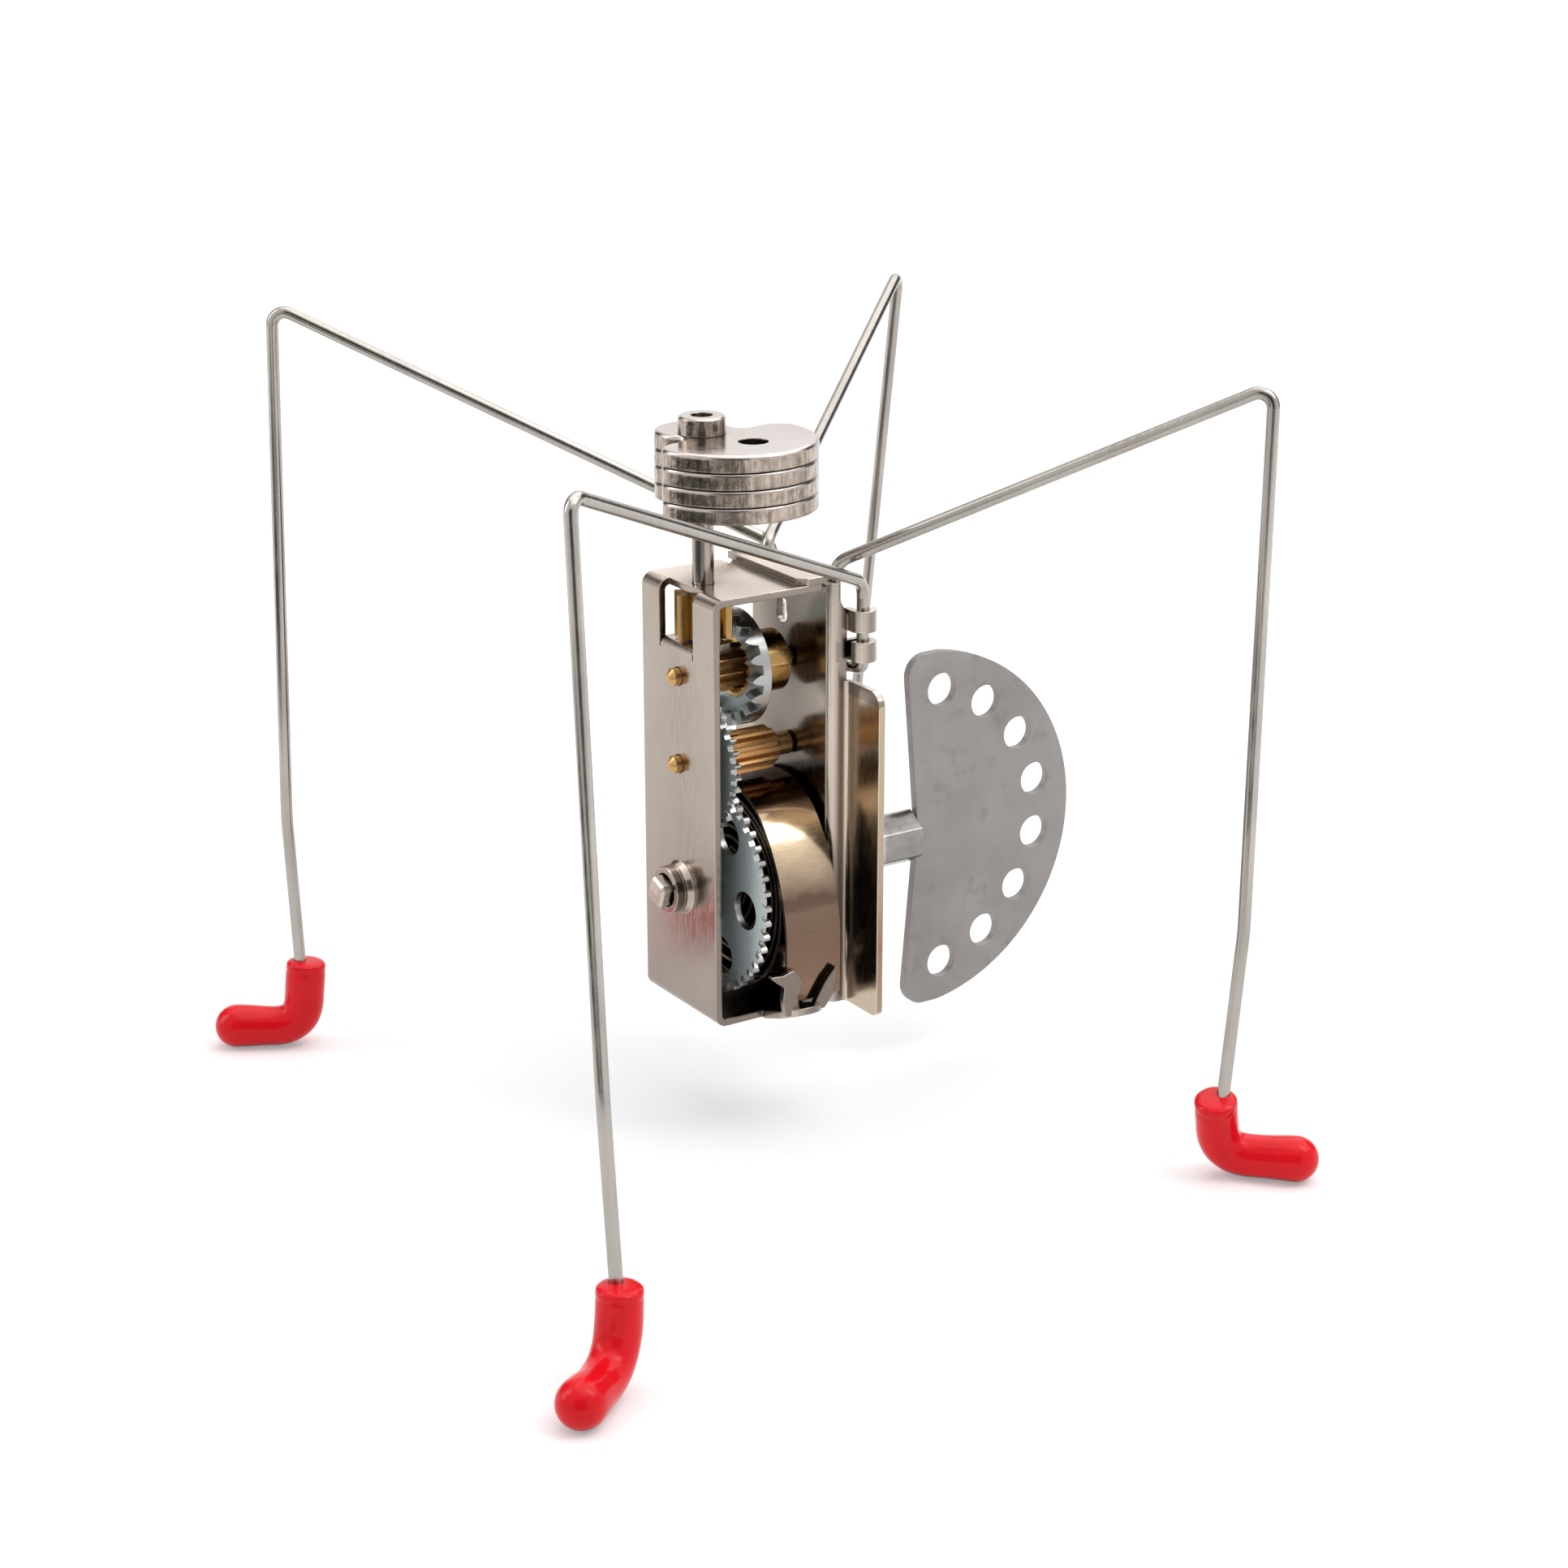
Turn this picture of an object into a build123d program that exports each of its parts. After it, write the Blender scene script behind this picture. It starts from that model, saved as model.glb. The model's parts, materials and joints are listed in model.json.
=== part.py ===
from build123d import *
import math
import os

# Wind-up walking critter: a folded steel frame holds a spring, a gear train and
# an upright eccentric rotor, and stands on four bent wire legs with soft boots.
# Working frame, in mm: X runs from the front plate to the key, Y across the frame,
# Z up from the floor.  The finished pieces are moved so that the middle of the
# footprint lies at the origin.

# ---------------------------------------------------------------- fits
RUN_GAP = 0.07        # radial clearance where a part turns in or on another
SEAT_GAP = 0.01       # radial clearance where a part is pressed on another
WIRE_GAP = 0.03       # radial clearance round a clamped wire
WIRE_LAY = 0.02       # gap between the wire loop and the plate it lies on
END_SHAKE = 0.3       # end play of an arbor between the plates
CUT = 1.0             # how far a cutting tool reaches past the piece

# ---------------------------------------------------------------- frame
SHEET = 0.7
FRAME_DEPTH = 13.9
FRAME_WIDTH = 13.65
FRAME_BOTTOM = 12.45
FRAME_TOP = 57.35
BEND_OUT = 1.2
BEND_IN = BEND_OUT - SHEET
EDGE_Y = FRAME_WIDTH / 2
REAR_INSIDE = FRAME_DEPTH - SHEET
LAP_GAP = 0.02
LAP_LENGTH = 3.7
LAP_FRONT = FRAME_DEPTH - LAP_LENGTH
LAP_CHAMFER = 0.9
TOP_END = REAR_INSIDE - 0.5
WINDOW_SIDES = (-2.95, 3.45)
WINDOW_BOTTOM = 50.75
WINDOW_BACK = 1.25
WINDOW_CORNER = 0.45
SHELF_BEND = 0.8
SHELF_END = 4.5
SHELF_MARGIN = 0.2
SHELF_TOP = WINDOW_BOTTOM + SHELF_BEND
FLANGE_OUT = EDGE_Y + 0.845
FLANGE_LENGTH = 1.25
FLANGE_EDGE = FRAME_DEPTH + FLANGE_LENGTH
FLANGE_SLOPE = 1.75
WING_SETBACK = 1.32
WING_PLANE = FRAME_DEPTH + WING_SETBACK
WING_TOP = 47.1
WING_WIDTH = 5.73
WING_REACH = FLANGE_OUT + WING_WIDTH
WING_CORNER = 1.6
WING_FOOT_CORNER = 0.8

# ---------------------------------------------------------------- train
WINDING_Z = 25.7
ROTOR_X = 3.05
MAIN_TEETH = 45
MAIN_MODULE = 0.5
SECOND_PINION_TEETH = 8
SECOND_TEETH = 36
SECOND_MODULE = 0.4
THIRD_PINION_TEETH = 10
SECOND_Z = WINDING_Z + MAIN_MODULE * (MAIN_TEETH + SECOND_PINION_TEETH) / 2
THIRD_Z = SECOND_Z + SECOND_MODULE * (SECOND_TEETH + THIRD_PINION_TEETH) / 2
CROWN_TEETH = 18
CROWN_MODULE = 0.6
ROTOR_TEETH = 8
MAIN_FRONT = 3.0
GEAR_PLATE = 0.7
MAIN_HOLE_RING = 7.7
MAIN_HOLE_R = 2.0
CROWN_TIP = 5.1
CROWN_ROOT = 6.4
CROWN_BACK = 7.35
CROWN_R = 5.95
CROWN_TOOTH_IN = 4.7
HUB_R = 3.2
HUB_CUP_R = 2.72
HUB_CUP_END = 7.05
HUB_END = REAR_INSIDE - 1.8
SECOND_FRONT = 2.0
PINION_END = REAR_INSIDE - 1.9
SECOND_CORE_R = 1.2
THIRD_CORE_R = 1.1
PIVOT_D = 1.8
PIVOT_NOSE = 0.75
PIVOT_DOME = 0.45
REAR_PIVOT_D = 1.3
ARBOR_D = 3.4
ARBOR_NOSE = 3.0
COLLAR_D = 4.9
COLLAR_OUT = 1.8
SHAFT_D = 2.2
FOOT_PIVOT_D = 1.0
RATCHET_FRONT = 1.9
RATCHET_THICK = 0.8
RATCHET_TEETH = 12
RATCHET_R = 3.95
RATCHET_ROOT = 3.1
CLICK_R = 4.7
CLICK_WIDTH = 0.4
CLICK_THICK = 0.5
CLICK_FRONT = 2.1

# ---------------------------------------------------------------- spring
STRIP = 0.3
STRIP_FRONT = 6.0
STRIP_BACK = REAR_INSIDE - 0.7
EYE_R = 2.4
COIL_TOPS = (3.2, 4.4, 5.8, 7.2, 8.3, 8.95, 9.55, 10.15)
COIL_BOTTOMS = (3.2, 3.8, 4.4, 5.0, 5.5, 6.0, 6.5)
OUTER_SWING = ((8.2, 52), (19.5, 38), (200, 1.6))
ANCHOR_FACE = -10.8
ANCHOR_FRONT = 5.5
ANCHOR_WIDTH = 4.8

# ---------------------------------------------------------------- legs
WIRE_D = 1.3
WIRE_R = WIRE_D / 2
CURL_IN = WIRE_R + WIRE_GAP
CURL_OUT = CURL_IN + SHEET
RING_X = WING_PLANE + CURL_OUT
RING_Y = FLANGE_OUT + CURL_IN
POST_X = FRAME_DEPTH + WIRE_R + WIRE_LAY
POST_Y = FLANGE_OUT - SHEET - WIRE_R - WIRE_LAY
LOOP_Z = 48.28
UPPER_TAB = (52.35, 54.55)
LOWER_TAB = (49.25, 51.35)
ANKLE_BEND = 30.0
KNEE_BEND = 1.4
CORNER_BEND = 2.3
LOOP_BEND = 0.8
ANKLE_Z = 26.0
ANKLE_OUT = 0.85
WIRE_END = 4.2
BOOT_TOP = 9.4
BOOT_R = 2.15
BOOT_EDGE = 0.45
TOE_R = 2.35
HEEL_BEND = BOOT_R + 0.25
SOLE_FLAT = 0.08

# ---------------------------------------------------------------- rotor and key
PLATE_THICK = 1.66
PLATE_GAP = 0.04
PLATE_STEP = PLATE_THICK + PLATE_GAP
PLATE_COUNT = 4
PLATE_ROLL = 0.42
PLATE_R = 8.6
PLATE_LOBE_R = 3.9
PLATE_HOLE_R = 1.5
STACK_BOTTOM = 65.71
STACK_TOP = STACK_BOTTOM + PLATE_COUNT * PLATE_STEP
HUB_TOP = 74.3
HUB_D = 4.7
HUB_NECK_R = 1.4
PINION_BOTTOM = SHELF_TOP + 0.2
PINION_TOP = FRAME_TOP - SHEET - 0.2
SLEEVE_START = FRAME_DEPTH + 0.6
SLEEVE_END = 28.6
SLEEVE_FLATS = 5.2
SLEEVE_WALL = 0.8
ARBOR_END = SLEEVE_START + 6.5
KEY_R = 20.0
KEY_X = SLEEVE_END + 0.8
KEY_Z = WINDING_Z + 0.2
KEY_THICK = 0.9
KEY_CORNER = 2.4
KEY_HOLES = 8
KEY_HOLE_TURN = 0.9
KEY_HOLE_R = 1.8
KEY_HOLE_RING = 15.8
KEY_TONGUE = 3.2


# ================================================================ helpers
def unit(vector):
    length = math.sqrt(sum(c * c for c in vector))
    return tuple(c / length for c in vector)


def step(point, direction, distance):
    return tuple(p + d * distance for p, d in zip(point, direction))


def toward(start, end):
    return unit(tuple(b - a for a, b in zip(start, end)))


def corner_arc(before, corner, after, radius):
    """Tangent points and middle point of the arc that rounds a corner."""
    to_before = toward(corner, before)
    to_after = toward(corner, after)
    cosine = sum(a * b for a, b in zip(to_before, to_after))
    half = math.acos(max(-1.0, min(1.0, cosine))) / 2
    reach = radius / math.tan(half)
    bisector = unit(tuple(a + b for a, b in zip(to_before, to_after)))
    middle = step(corner, bisector, radius / math.sin(half) - radius)
    return step(corner, to_before, reach), middle, step(corner, to_after, reach)


def rounded_face(corners):
    """Flat face in the XY plane; every corner is (x, y, rounding radius)."""
    count = len(corners)
    arcs = []
    for index in range(count):
        x, y, radius = corners[index]
        before = (corners[index - 1][0], corners[index - 1][1], 0.0)
        after = (corners[(index + 1) % count][0], corners[(index + 1) % count][1], 0.0)
        here = (x, y, 0.0)
        if radius > 0:
            arcs.append(corner_arc(before, here, after, radius))
        else:
            arcs.append((here, None, here))
    edges = []
    for index in range(count):
        first, middle, last = arcs[index]
        previous = arcs[index - 1][2]
        if math.dist(previous, first) > 1e-6:
            edges.append(Line(previous, first))
        if middle is not None:
            edges.append(ThreePointArc(first, middle, last))
    return Face(Wire(edges))


def slab(corners, plane, thickness):
    """Plate with a rounded outline, standing on a plane along its normal."""
    return extrude(plane * rounded_face(corners), amount=thickness, dir=plane.z_dir)


def side_plane(y):
    """Plane across the frame: local x is X, local y is Z, normal is +Y reversed."""
    return Plane(origin=(0, y, 0), x_dir=(1, 0, 0), z_dir=(0, -1, 0))


def cross_plane(x, z=0.0):
    """Plane along the frame: local x is Y, local y is Z, normal is +X."""
    return Plane(origin=(x, 0, z), x_dir=(0, 1, 0), z_dir=(1, 0, 0))


def rod(x0, x1, z, radius):
    """Round bar along X in the middle of the frame."""
    return extrude(cross_plane(x0, z) * Circle(radius), amount=x1 - x0)


def post(z0, z1, radius, x=ROTOR_X, y=0.0):
    """Round bar along Z."""
    return extrude(Plane.XY.offset(z0) * Pos(x, y) * Circle(radius), amount=z1 - z0)


def block(x0, x1, y0, y1, z0, z1):
    """Square-edged block between limits."""
    middle = ((x0 + x1) / 2, (y0 + y1) / 2, (z0 + z1) / 2)
    return Pos(*middle) * Box(x1 - x0, y1 - y0, z1 - z0)


def bent_path(corners, radii):
    """Wire path through corners, each inner corner rounded by its own radius."""
    edges = []
    last = corners[0]
    for index in range(1, len(corners) - 1):
        first, middle, after = corner_arc(
            corners[index - 1], corners[index], corners[index + 1], radii[index - 1])
        edges.append(Line(last, first))
        edges.append(ThreePointArc(first, middle, after))
        last = after
    edges.append(Line(last, corners[-1]))
    return Wire(edges)


def round_sweep(corners, radii, radius):
    """Round bar swept along a bent path."""
    path = bent_path(corners, radii)
    start = Plane(origin=corners[0], z_dir=toward(corners[0], corners[1]))
    return sweep(start * Circle(radius), path=path)


def mirrored(solid):
    """The same piece on the other side of the frame."""
    return mirror(solid, about=Plane.XZ)


# ================================================================ gears
def tooth_ring(teeth, root, pitch, tip, phase, widths=(0.30, 0.215, 0.07)):
    """Corner list of a toothed outline; widths are half widths in tooth pitches."""
    corners = []
    spacing = 2 * math.pi / teeth
    for index in range(teeth):
        centre = phase + index * spacing
        for side in (-1, 1):
            rows = list(zip((root, pitch, tip), widths))
            if side > 0:
                rows.reverse()
            for radius, width in rows:
                angle = centre + side * width * spacing
                corners.append((radius * math.cos(angle), radius * math.sin(angle), 0))
    return corners


def spur(teeth, module, x0, x1, z, phase, addendum=1.0, widths=(0.30, 0.215, 0.07)):
    """Toothed disc on the X axis at height z; phase 0 puts a tooth along +Y."""
    pitch = teeth * module / 2
    root = pitch - 1.2 * module
    tip = pitch + addendum * module
    corners = tooth_ring(teeth, root, pitch, tip, phase, widths)
    return slab(corners, cross_plane(x0, z), x1 - x0)


def main_gear():
    """Great wheel that the click drives, with six lightening holes."""
    wheel = spur(MAIN_TEETH, MAIN_MODULE, MAIN_FRONT, MAIN_FRONT + GEAR_PLATE,
                 WINDING_Z, math.pi / 2, 0.6, (0.3, 0.22, 0.11))
    wheel -= rod(MAIN_FRONT - CUT, MAIN_FRONT + GEAR_PLATE + CUT, WINDING_Z, ARBOR_D / 2 + RUN_GAP)
    for index in range(6):
        angle = math.radians(126 + 60 * index)
        hole = rod(MAIN_FRONT - CUT, MAIN_FRONT + GEAR_PLATE + CUT, WINDING_Z, MAIN_HOLE_R)
        wheel -= Pos(0, MAIN_HOLE_RING * math.cos(angle), MAIN_HOLE_RING * math.sin(angle)) * hole
    return wheel


def turned_arbor(z, body_radius):
    """Round core between the plates with a domed front pivot and a plain rear pivot."""
    front = SHEET + END_SHAKE
    back = REAR_INSIDE - END_SHAKE
    core = rod(front, back, z, body_radius)
    nose = rod(-PIVOT_NOSE, front, z, PIVOT_D / 2)
    dome = Pos(-PIVOT_NOSE, 0, z) * Rot(0, -90, 0) * Cone(
        PIVOT_D / 2, PIVOT_D / 6, PIVOT_DOME, align=(Align.CENTER, Align.CENTER, Align.MIN))
    tail = rod(back, FRAME_DEPTH + END_SHAKE, z, REAR_PIVOT_D / 2)
    return core + nose + dome + tail


def tapered_end(x, z, radius, length):
    """Tool that turns the rear end of a pinion down to a cone."""
    wide = radius + CUT
    ring = rod(x - length, x + CUT, z, wide)
    cone = Pos(x - length, 0, z) * Rot(0, 90, 0) * Cone(
        radius, radius - length, length, align=(Align.CENTER, Align.CENTER, Align.MIN))
    return ring - cone


def second_pinion():
    """Brass pinion wire with both pivots."""
    tip = MAIN_MODULE * (SECOND_PINION_TEETH / 2 + 0.55)
    teeth = spur(SECOND_PINION_TEETH, MAIN_MODULE, SECOND_FRONT + GEAR_PLATE + 0.05, PINION_END,
                 SECOND_Z, -math.pi / 2 + math.pi / SECOND_PINION_TEETH, 0.55, (0.27, 0.2, 0.1))
    teeth -= tapered_end(PINION_END, SECOND_Z, tip, 0.8)
    return teeth + turned_arbor(SECOND_Z, SECOND_CORE_R)


def second_gear():
    """Intermediate wheel pressed on the second arbor."""
    back = SECOND_FRONT + GEAR_PLATE
    wheel = spur(SECOND_TEETH, SECOND_MODULE, SECOND_FRONT, back, SECOND_Z, math.pi / 2)
    return wheel - rod(SECOND_FRONT - CUT, back + CUT, SECOND_Z, SECOND_CORE_R + SEAT_GAP)


def third_pinion():
    """Bronze pinion and arbor of the crown wheel."""
    teeth = spur(THIRD_PINION_TEETH, SECOND_MODULE, SECOND_FRONT - 0.1, HUB_CUP_END - 0.05, THIRD_Z,
                 -math.pi / 2 + math.pi / THIRD_PINION_TEETH, 0.85, (0.26, 0.19, 0.05))
    return teeth + turned_arbor(THIRD_Z, THIRD_CORE_R)


def crown_hub():
    """Brass hub with a cup that clears the third pinion."""
    hub = rod(CROWN_ROOT, HUB_END, THIRD_Z, HUB_R)
    hub -= rod(CROWN_TIP, HUB_CUP_END, THIRD_Z, HUB_CUP_R)
    return hub - rod(CROWN_TIP, HUB_END + CUT, THIRD_Z, THIRD_CORE_R + SEAT_GAP)


def crown_tooth():
    """One pointed tooth of the contrate wheel, at the top of the rim."""
    shoulder = CROWN_ROOT - 0.4
    flank = CROWN_TIP + 0.4
    foot = CROWN_ROOT + 0.1
    profile = [(CROWN_TIP, -0.05, 0), (CROWN_TIP, 0.05, 0), (flank, 0.33, 0), (shoulder, 0.5, 0),
               (foot, 0.56, 0), (foot, -0.56, 0), (shoulder, -0.5, 0), (flank, -0.33, 0)]
    tooth = slab(profile, Plane.XY.offset(CROWN_TOOTH_IN), CROWN_R - CROWN_TOOTH_IN + CUT)
    return Pos(0, 0, THIRD_Z) * tooth


def crown_wheel():
    """Contrate wheel: pointed teeth face the front plate and drive the upright pinion."""
    teeth = [Pos(0, 0, THIRD_Z) * Rot((index + 0.5) * 360 / CROWN_TEETH, 0, 0)
             * Pos(0, 0, -THIRD_Z) * crown_tooth() for index in range(CROWN_TEETH)]
    rim = rod(CROWN_TIP, CROWN_BACK, THIRD_Z, CROWN_R)
    web = rod(CROWN_ROOT, CROWN_BACK, THIRD_Z, CROWN_R)
    for tooth in teeth:
        web += tooth & rim
    return web - rod(CROWN_TIP - CUT, CROWN_BACK + CUT, THIRD_Z, HUB_R + SEAT_GAP)


def rotor_pinion():
    """Upright pinion turned by the crown wheel."""
    pitch = ROTOR_TEETH * CROWN_MODULE / 2
    corners = tooth_ring(ROTOR_TEETH, pitch - 0.68, pitch, pitch + 0.56, 0.0,
                         (0.24, 0.165, 0.05))
    body = slab(corners, Plane(origin=(ROTOR_X, 0, PINION_BOTTOM)), PINION_TOP - PINION_BOTTOM)
    return body - post(PINION_BOTTOM - CUT, PINION_TOP + CUT, SHAFT_D / 2 + SEAT_GAP)


# ================================================================ winding group
def winding_arbor():
    """Arbor from the squared front nose to the key sleeve."""
    arbor = rod(-0.7, ARBOR_END, WINDING_Z, ARBOR_D / 2)
    nose = rod(-ARBOR_NOSE, -0.6, WINDING_Z, ARBOR_D / 2 - 0.08)
    square = Pos(-ARBOR_NOSE / 2 - 0.3, 0, WINDING_Z) * Rot(20, 0, 0) * Box(2.6, 2.65, 2.65)
    nose = nose & square
    nose = chamfer(nose.faces().sort_by(Axis.X)[0].edges(), 0.25)
    return arbor + nose


def ratchet_wheel():
    """Saw-toothed wheel pressed on the winding arbor."""
    ordered = []
    spacing = 2 * math.pi / RATCHET_TEETH
    for index in range(RATCHET_TEETH):
        angle = spacing * index
        later = spacing * (index + 29 / 30)
        ordered.append((RATCHET_ROOT * math.cos(angle), RATCHET_ROOT * math.sin(angle), 0))
        ordered.append((RATCHET_R * math.cos(later), RATCHET_R * math.sin(later), 0))
    wheel = slab(ordered, cross_plane(RATCHET_FRONT, WINDING_Z), RATCHET_THICK)
    back = RATCHET_FRONT + RATCHET_THICK
    return wheel - rod(RATCHET_FRONT - CUT, back + CUT, WINDING_Z, ARBOR_D / 2 + SEAT_GAP)


def click_spring():
    """Curved click riveted to the great wheel beside the ratchet."""
    plane = cross_plane(CLICK_FRONT, WINDING_Z)
    middle = CLICK_R + CLICK_WIDTH / 2
    arc = extrude(plane * ring_sector(CLICK_R, CLICK_R + CLICK_WIDTH, -6, 138),
                  amount=CLICK_THICK, dir=(1, 0, 0))
    angle = math.radians(135)
    reach = CLICK_R - 0.15
    tip = extrude(plane * Pos(reach * math.cos(angle), reach * math.sin(angle))
                  * Rot(0, 0, 135) * Rectangle(0.7, 0.5), amount=CLICK_THICK)
    rivet = Pos(0, middle, 0) * rod(CLICK_FRONT, MAIN_FRONT, WINDING_Z, 0.45)
    return arc + tip + rivet


def hexagon(flats):
    """Regular hexagon with flats above and below."""
    return RegularPolygon(flats / 2, 6, major_radius=False, rotation=30)


def key_sleeve():
    """Folded hexagonal sleeve that is pressed on the arbor and carries the key blade."""
    plane = cross_plane(SLEEVE_START, WINDING_Z)
    length = SLEEVE_END - SLEEVE_START
    body = extrude(plane * hexagon(SLEEVE_FLATS), amount=length)
    ridges = body.edges().filter_by(Axis.X)
    body = fillet(ridges, 0.4)
    body -= rod(SLEEVE_START - CUT, ARBOR_END, WINDING_Z, ARBOR_D / 2 + SEAT_GAP)
    mouth = extrude(cross_plane(ARBOR_END - 0.01, WINDING_Z)
                    * hexagon(SLEEVE_FLATS - 2 * SLEEVE_WALL), amount=length)
    return body - mouth


def key_plate():
    """Half-disc key blade with a row of finger holes and a tongue in the sleeve."""
    top = KEY_R - 0.2
    low, high = KEY_Z - top, KEY_Z + top
    wide = KEY_R + CUT
    disc = side_plane(KEY_THICK / 2) * Pos(KEY_X, KEY_Z) * Circle(KEY_R)
    blank = [(KEY_X, KEY_Z, 0), (KEY_X - 1.7, high, 0), (KEY_X + wide, high, 0),
             (KEY_X + wide, low, 0), (KEY_X - 1.7, low, 0)]
    plate = extrude(disc, amount=KEY_THICK) & slab(blank, side_plane(KEY_THICK / 2), KEY_THICK)
    tips = [e for e in plate.edges().filter_by(Axis.Y) if e.center().X < KEY_X - 1.0]
    plate = fillet(tips, KEY_CORNER)
    for index in range(KEY_HOLES):
        angle = math.radians(KEY_HOLE_TURN + 180 * (index + 0.5) / KEY_HOLES - 90)
        centre = (KEY_X + KEY_HOLE_RING * math.cos(angle), KEY_Z + KEY_HOLE_RING * math.sin(angle))
        hole = extrude(side_plane(KEY_THICK) * Pos(*centre) * Circle(KEY_HOLE_R), amount=3 * KEY_THICK)
        plate -= hole
    half = KEY_TONGUE / 2
    tongue = block(ARBOR_END + 3, KEY_X + 1, -KEY_THICK / 2, KEY_THICK / 2,
                   WINDING_Z - half, WINDING_Z + half)
    return plate + tongue


# ================================================================ rotor
def weight_outline():
    """Half disc with a round lobe behind the shaft."""
    disc = Pos(2.3, 0) * Circle(PLATE_R)
    disc &= Pos(0.2 + PLATE_R, 0) * Rectangle(2 * PLATE_R, 3 * PLATE_R)
    disc = fillet(disc.vertices(), 2.4)
    shape = disc + Pos(-3.1, 0) * Circle(PLATE_LOBE_R)
    neck = [v for v in shape.vertices() if abs(v.X - 0.2) < 0.01 and abs(v.Y) < 3.2]
    return fillet(neck, 1.2)


def weight_plate(index):
    """One stamped weight of the stack, with a rolled upper edge."""
    bottom = STACK_BOTTOM + index * PLATE_STEP
    bore = (-0.87, -0.94)
    outline = weight_outline() - Pos(5.3, 0.1) * Circle(PLATE_HOLE_R)
    outline -= Pos(*bore) * Circle(HUB_NECK_R + SEAT_GAP)
    place = Plane.XY.offset(bottom) * Pos(ROTOR_X, 0) * Rot(0, 0, -78.5) * Pos(-bore[0], -bore[1])
    plate = extrude(place * outline, amount=PLATE_THICK)
    rim = plate.faces().sort_by(Axis.Z)[-1].outer_wire().edges()
    return fillet(rim, PLATE_ROLL)


def rotor_hub():
    """Sleeve through the weights with a collar on top."""
    hub = post(STACK_BOTTOM - 0.1, STACK_TOP + 0.1, HUB_NECK_R)
    hub += post(STACK_TOP, HUB_TOP, HUB_D / 2)
    hub = chamfer(hub.faces().sort_by(Axis.Z)[-1].edges(), 0.2)
    return hub - post(STACK_BOTTOM - CUT, HUB_TOP + CUT, SHAFT_D / 2 + SEAT_GAP)


def rotor_shaft():
    """Upright shaft with a thin foot pivot in the shelf."""
    shaft = post(PINION_BOTTOM, HUB_TOP - 0.5, SHAFT_D / 2)
    return shaft + post(SHELF_TOP - SHEET - 0.2, PINION_BOTTOM + 0.1, FOOT_PIVOT_D / 2)


# ================================================================ frame
def folded_strip():
    """Strip folded into a tall box that is open on both sides."""
    lap = FRAME_TOP + LAP_GAP
    corners = [
        (TOP_END, FRAME_TOP - SHEET, 0),
        (SHEET, FRAME_TOP - SHEET, BEND_IN),
        (SHEET, FRAME_BOTTOM + SHEET, BEND_IN),
        (REAR_INSIDE, FRAME_BOTTOM + SHEET, BEND_IN),
        (REAR_INSIDE, lap, 0.3),
        (LAP_FRONT, lap, 0),
        (LAP_FRONT, lap + SHEET, 0),
        (FRAME_DEPTH, lap + SHEET, BEND_OUT),
        (FRAME_DEPTH, FRAME_BOTTOM, BEND_OUT),
        (0, FRAME_BOTTOM, BEND_OUT),
        (0, FRAME_TOP, BEND_OUT),
        (TOP_END, FRAME_TOP, 0)]
    return slab(corners, side_plane(EDGE_Y), FRAME_WIDTH)


def lap_corner(side):
    """Wedge that chamfers one front corner of the lap."""
    edge = side * EDGE_Y
    plane = Plane.XY.offset(FRAME_TOP + LAP_GAP / 2)
    wedge = Polygon((LAP_FRONT - CUT, edge - side * (LAP_CHAMFER + CUT)),
                    (LAP_FRONT - CUT, edge + side * CUT),
                    (LAP_FRONT + LAP_CHAMFER + CUT, edge + side * CUT), align=None)
    return extrude(plane * wedge, amount=SHEET + 2 * CUT)


def wing_profile():
    """Cut through the rear flange and wing on the +Y side."""
    inside = FLANGE_OUT - SHEET
    back = WING_PLANE + SHEET
    root = EDGE_Y - BEND_OUT
    return [(REAR_INSIDE, root, 0),
            (FRAME_DEPTH, root, 0),
            (FRAME_DEPTH, inside, BEND_IN),
            (back, inside, BEND_OUT),
            (back, WING_REACH, 0),
            (WING_PLANE, WING_REACH, 0),
            (WING_PLANE, FLANGE_OUT, BEND_IN),
            (REAR_INSIDE, FLANGE_OUT, BEND_OUT)]


def flange_profile():
    """Cut through the rear flange above the wing."""
    inside = FLANGE_OUT - SHEET
    root = EDGE_Y - BEND_OUT
    return [(REAR_INSIDE, root, 0),
            (FRAME_DEPTH, root, 0),
            (FRAME_DEPTH, inside, BEND_IN),
            (FLANGE_EDGE, inside, 0),
            (FLANGE_EDGE, FLANGE_OUT, 0),
            (REAR_INSIDE, FLANGE_OUT, BEND_OUT)]


def wing():
    """Rear flange and wing on the +Y side."""
    floor = Plane.XY.offset(FRAME_BOTTOM)
    lower = slab(wing_profile(), floor, WING_TOP - FRAME_BOTTOM)
    outer = lower.edges().filter_by(Axis.X).group_by(Axis.Y)[-1].sort_by(Axis.Z)
    lower = fillet([outer[-1]], WING_CORNER)
    outer = lower.edges().filter_by(Axis.X).sort_by(Axis.Z)
    outer = [e for e in outer if e.center().Y > WING_REACH - 0.1]
    lower = fillet([outer[0]], WING_FOOT_CORNER)
    upper = slab(flange_profile(), floor, FRAME_TOP - FRAME_BOTTOM)
    high = FRAME_TOP - FLANGE_SLOPE
    slope = [(FLANGE_EDGE - 0.85, high, 0), (FLANGE_EDGE - 0.85, FRAME_TOP + CUT, 0),
             (FLANGE_EDGE + CUT, FRAME_TOP + CUT, 0), (FLANGE_EDGE + CUT, high - 2.6, 0),
             (FLANGE_EDGE, high - 1.5, 0)]
    upper -= slab(slope, side_plane(FLANGE_OUT + CUT), SHEET + 2 * CUT)
    return lower + upper


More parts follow.
